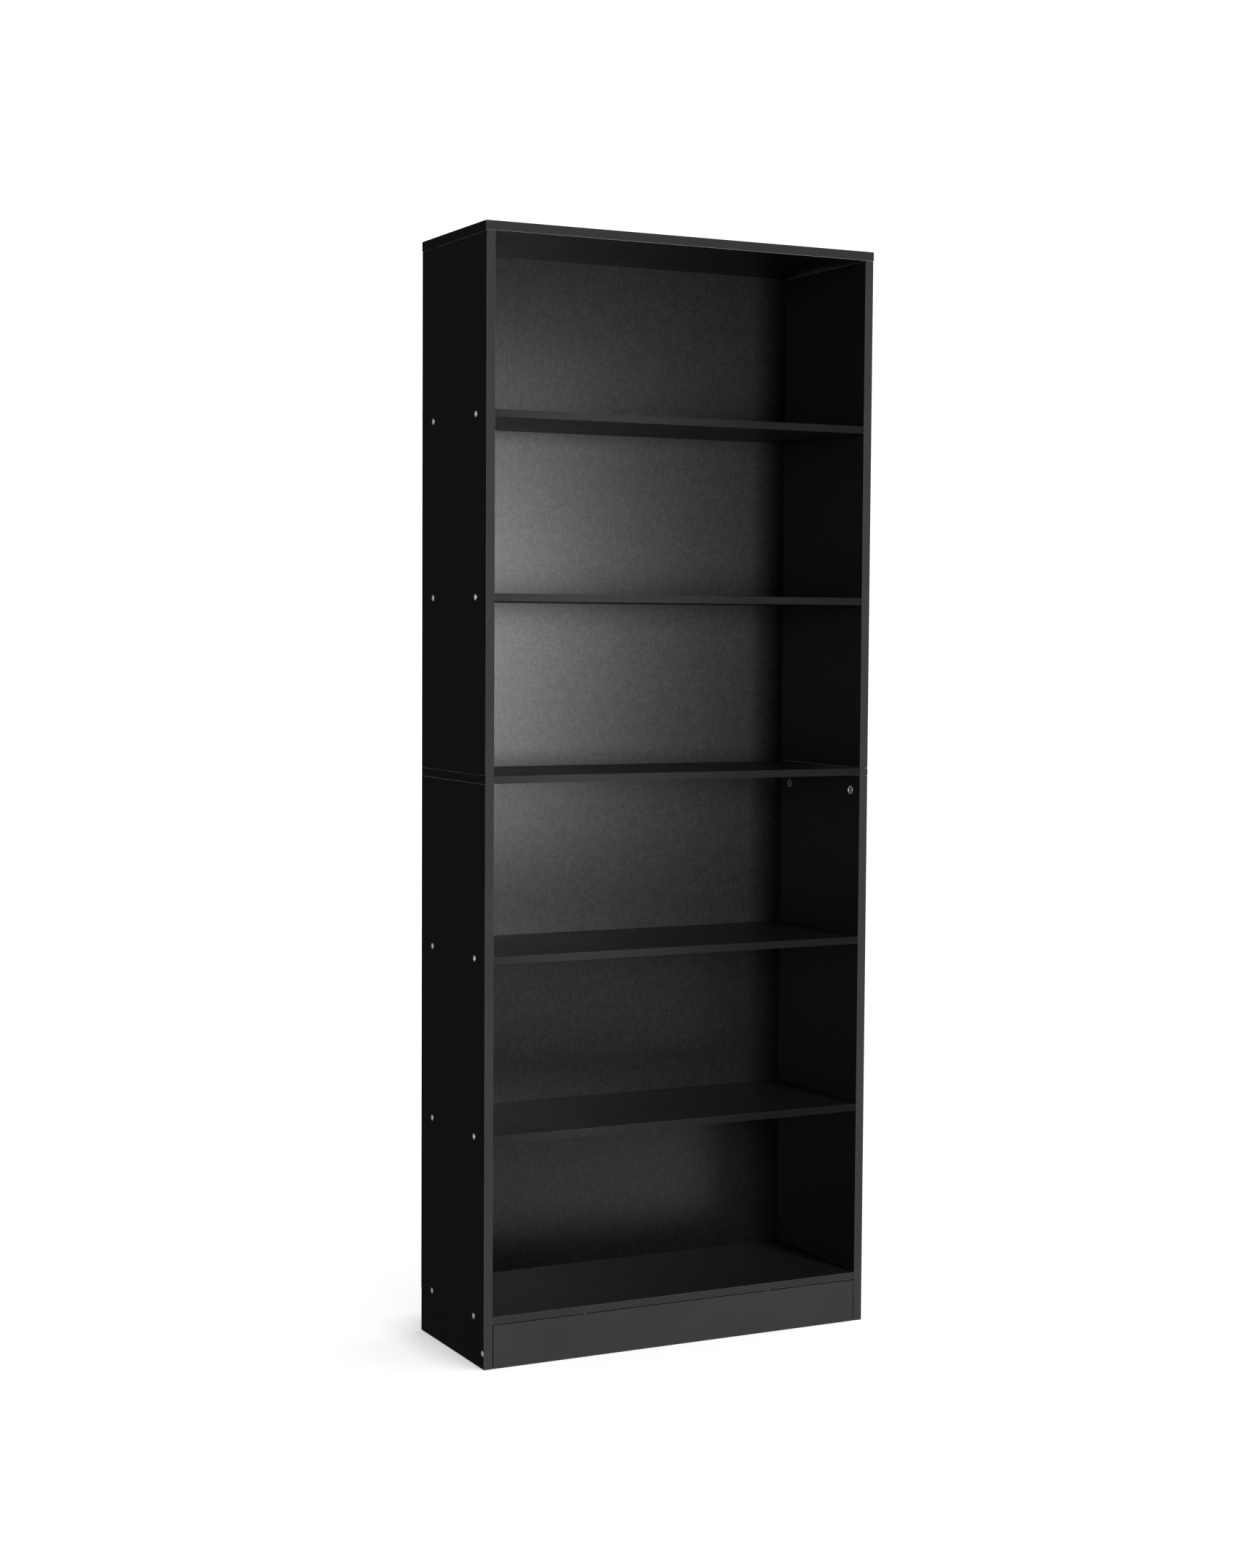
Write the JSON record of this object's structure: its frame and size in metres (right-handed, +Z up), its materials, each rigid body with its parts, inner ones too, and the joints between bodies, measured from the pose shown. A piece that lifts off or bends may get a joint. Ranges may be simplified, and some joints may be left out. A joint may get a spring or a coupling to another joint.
{
  "type": "bookcase",
  "caption": "Tall narrow black knock-down bookcase: open-fronted bays between fixed shelves, a stacked upper and lower case, a plinth and a thin back.",
  "frame": {"origin": "on the floor under the middle of the case", "axes": "+Z up, the open front faces -Y, +X to the right as seen from the front"},
  "size_m": [0.702, 0.265, 1.8],
  "materials": {
    "black_melamine": "fine-textured black melamine on chipboard, with black edge banding",
    "black_hardboard": "satin black linen-embossed foil on hardboard",
    "zinc_plated_steel": "zinc plated, slightly warm",
    "zinc_alloy": "bare die-cast zinc alloy",
    "beech": "fluted plain beech"
  },
  "bodies": {
    "case": {"top_panel": "black_melamine", "upper_side_left": "black_melamine", "upper_side_right": "black_melamine", "middle_panel": "black_melamine", "lower_side_left": "black_melamine", "lower_side_right": "black_melamine", "shelf_1": "black_melamine", "shelf_2": "black_melamine", "shelf_3": "black_melamine", "shelf_4": "black_melamine", "bottom_panel": "black_melamine", "plinth": "black_melamine", "back_panel_upper": "black_hardboard", "back_panel_lower": "black_hardboard", "screw_shelf_1_front_left": "zinc_plated_steel", "screw_shelf_1_front_right": "zinc_plated_steel", "screw_shelf_1_rear_left": "zinc_plated_steel", "screw_shelf_1_rear_right": "zinc_plated_steel", "screw_shelf_2_front_left": "zinc_plated_steel", "screw_shelf_2_front_right": "zinc_plated_steel", "screw_shelf_2_rear_left": "zinc_plated_steel", "screw_shelf_2_rear_right": "zinc_plated_steel", "screw_shelf_3_front_left": "zinc_plated_steel", "screw_shelf_3_front_right": "zinc_plated_steel", "screw_shelf_3_rear_left": "zinc_plated_steel", "screw_shelf_3_rear_right": "zinc_plated_steel", "screw_shelf_4_front_left": "zinc_plated_steel", "screw_shelf_4_front_right": "zinc_plated_steel", "screw_shelf_4_rear_left": "zinc_plated_steel", "screw_shelf_4_rear_right": "zinc_plated_steel", "screw_bottom_panel_front_left": "zinc_plated_steel", "screw_bottom_panel_front_right": "zinc_plated_steel", "screw_bottom_panel_rear_left": "zinc_plated_steel", "screw_bottom_panel_rear_right": "zinc_plated_steel", "screw_top_front_left": "zinc_plated_steel", "screw_top_front_right": "zinc_plated_steel", "screw_top_rear_left": "zinc_plated_steel", "screw_top_rear_right": "zinc_plated_steel", "screw_plinth_left": "zinc_plated_steel", "screw_plinth_right": "zinc_plated_steel", "cam_bolt_front_left": "zinc_plated_steel", "cam_bolt_front_right": "zinc_plated_steel", "cam_bolt_rear_left": "zinc_plated_steel", "cam_bolt_rear_right": "zinc_plated_steel", "dowel_middle_front_left": "beech", "dowel_middle_front_right": "beech", "dowel_middle_rear_left": "beech", "dowel_middle_rear_right": "beech", "dowel_plinth_left": "beech", "dowel_plinth_right": "beech"},
    "cam_front_left": {"cam_front_left": "zinc_alloy"},
    "cam_front_right": {"cam_front_right": "zinc_alloy"},
    "cam_rear_left": {"cam_rear_left": "zinc_alloy"},
    "cam_rear_right": {"cam_rear_right": "zinc_alloy"}
  },
  "joints": [
    {"name": "cam_front_left_turn", "type": "hinge", "parent": "case", "child": "cam_front_left", "pos_m": [-0.335, -0.102, 0.903], "axis": [1, 0, 0], "range_deg": [0, 180]},
    {"name": "cam_front_right_turn", "type": "hinge", "parent": "case", "child": "cam_front_right", "pos_m": [0.335, -0.102, 0.903], "axis": [-1, 0, 0], "range_deg": [0, 180]},
    {"name": "cam_rear_left_turn", "type": "hinge", "parent": "case", "child": "cam_rear_left", "pos_m": [-0.335, 0.1002, 0.903], "axis": [1, 0, 0], "range_deg": [0, 180]},
    {"name": "cam_rear_right_turn", "type": "hinge", "parent": "case", "child": "cam_rear_right", "pos_m": [0.335, 0.1002, 0.903], "axis": [-1, 0, 0], "range_deg": [0, 180]}
  ]
}
